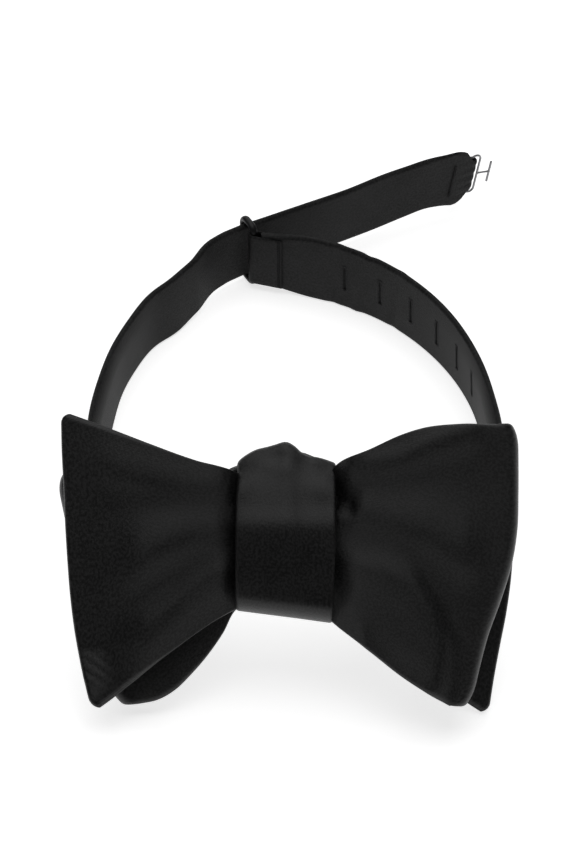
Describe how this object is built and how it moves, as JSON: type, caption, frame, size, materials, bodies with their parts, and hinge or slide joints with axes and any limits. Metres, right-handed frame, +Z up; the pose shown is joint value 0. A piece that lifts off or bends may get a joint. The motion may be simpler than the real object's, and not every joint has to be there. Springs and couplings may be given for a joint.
{
  "type": "self-tie bow tie",
  "caption": "Tied butterfly bow tie in satin: layered wings round a wide knot, with a neckband that runs through a ring and ends in a T-shaped hook.",
  "frame": {"origin": "on the table, under the middle of the whole tie's box, which is also near the middle of the neck loop", "axes": "+Z up from the table that the neckband stands on, -Y towards the bow, +Y towards the ring and the free tail, +X to the right of a viewer who faces the bow"},
  "size_m": [0.1328, 0.2422, 0.0691],
  "materials": {
    "satin": "satin weave with a soft sheen",
    "interlining": "plain woven wool interlining, hidden",
    "thread": "sewing thread",
    "enamel": "gloss enamel",
    "hook_metal": "dull nickel plate"
  },
  "bodies": {
    "band": {"knot_wrap_face": "satin", "knot_wrap_interlining": "interlining", "knot_wrap_backing": "satin", "knot_tuck": "satin", "front_blade_pinch": "satin", "back_blade_pinch": "satin", "left_neck_face": "satin", "left_neck_interlining": "interlining", "left_neck_backing": "satin", "right_neck_face": "satin", "right_neck_interlining": "interlining", "right_neck_backing": "satin", "left_strap_face": "satin", "left_strap_interlining": "interlining", "left_strap_backing": "satin", "right_strap_face": "satin", "right_strap_interlining": "interlining", "right_strap_backing": "satin", "slot_stitching": "thread", "ring_tab": "satin", "ring_tab_stitching": "thread"},
    "front_left_wing": {"front_left_end_face": "satin", "front_left_end_interlining": "interlining", "front_left_end_backing": "satin"},
    "front_right_wing": {"front_right_fold_face": "satin", "front_right_fold_interlining": "interlining", "front_right_fold_backing": "satin"},
    "back_left_wing": {"back_left_fold_face": "satin", "back_left_fold_interlining": "interlining", "back_left_fold_backing": "satin"},
    "back_right_wing": {"back_right_end_face": "satin", "back_right_end_interlining": "interlining", "back_right_end_backing": "satin"},
    "ring": {"adjuster_ring": "enamel"},
    "tail": {"tail_throat": "satin", "tail_face": "satin", "tail_interlining": "interlining", "tail_backing": "satin", "hook_tab": "satin", "hook_tab_stitching": "thread"},
    "hook": {"t_hook": "hook_metal"}
  },
  "joints": [
    {"name": "front_left_flex", "type": "hinge", "parent": "band", "child": "front_left_wing", "pos_m": [-0.0151, -0.08665, 0.04228], "axis": [0, 0.682, 0.7314], "range_deg": [-1.5, 18], "stiffness_Nm_per_rad": 0.2},
    {"name": "front_right_flex", "type": "hinge", "parent": "band", "child": "front_right_wing", "pos_m": [0.0151, -0.08658, 0.04222], "axis": [0, -0.682, -0.7314], "range_deg": [-1.5, 13], "stiffness_Nm_per_rad": 0.2},
    {"name": "back_left_flex", "type": "hinge", "parent": "band", "child": "back_left_wing", "pos_m": [-0.0151, -0.08244, 0.03836], "axis": [0, -0.682, -0.7314], "range_deg": [-1.5, 6], "stiffness_Nm_per_rad": 0.2},
    {"name": "back_right_flex", "type": "hinge", "parent": "band", "child": "back_right_wing", "pos_m": [0.0151, -0.08241, 0.03833], "axis": [0, 0.682, 0.7314], "range_deg": [-1.5, 6], "stiffness_Nm_per_rad": 0.2},
    {"name": "ring_swing", "type": "hinge", "parent": "band", "child": "ring", "pos_m": [-0.01055, 0.0749, 0.01215], "axis": [0, 0, 1], "range_deg": [-18, 18]},
    {"name": "tail_slide", "type": "slide", "parent": "band", "child": "tail", "axis": [0.8829, 0.4695, 0], "range_m": [0, 0.012]},
    {"name": "hook_swing", "type": "hinge", "parent": "tail", "child": "hook", "pos_m": [0.05792, 0.11663, 0.012], "axis": [0.1836, 0.0976, 0.9781], "range_deg": [-75, 75]}
  ]
}
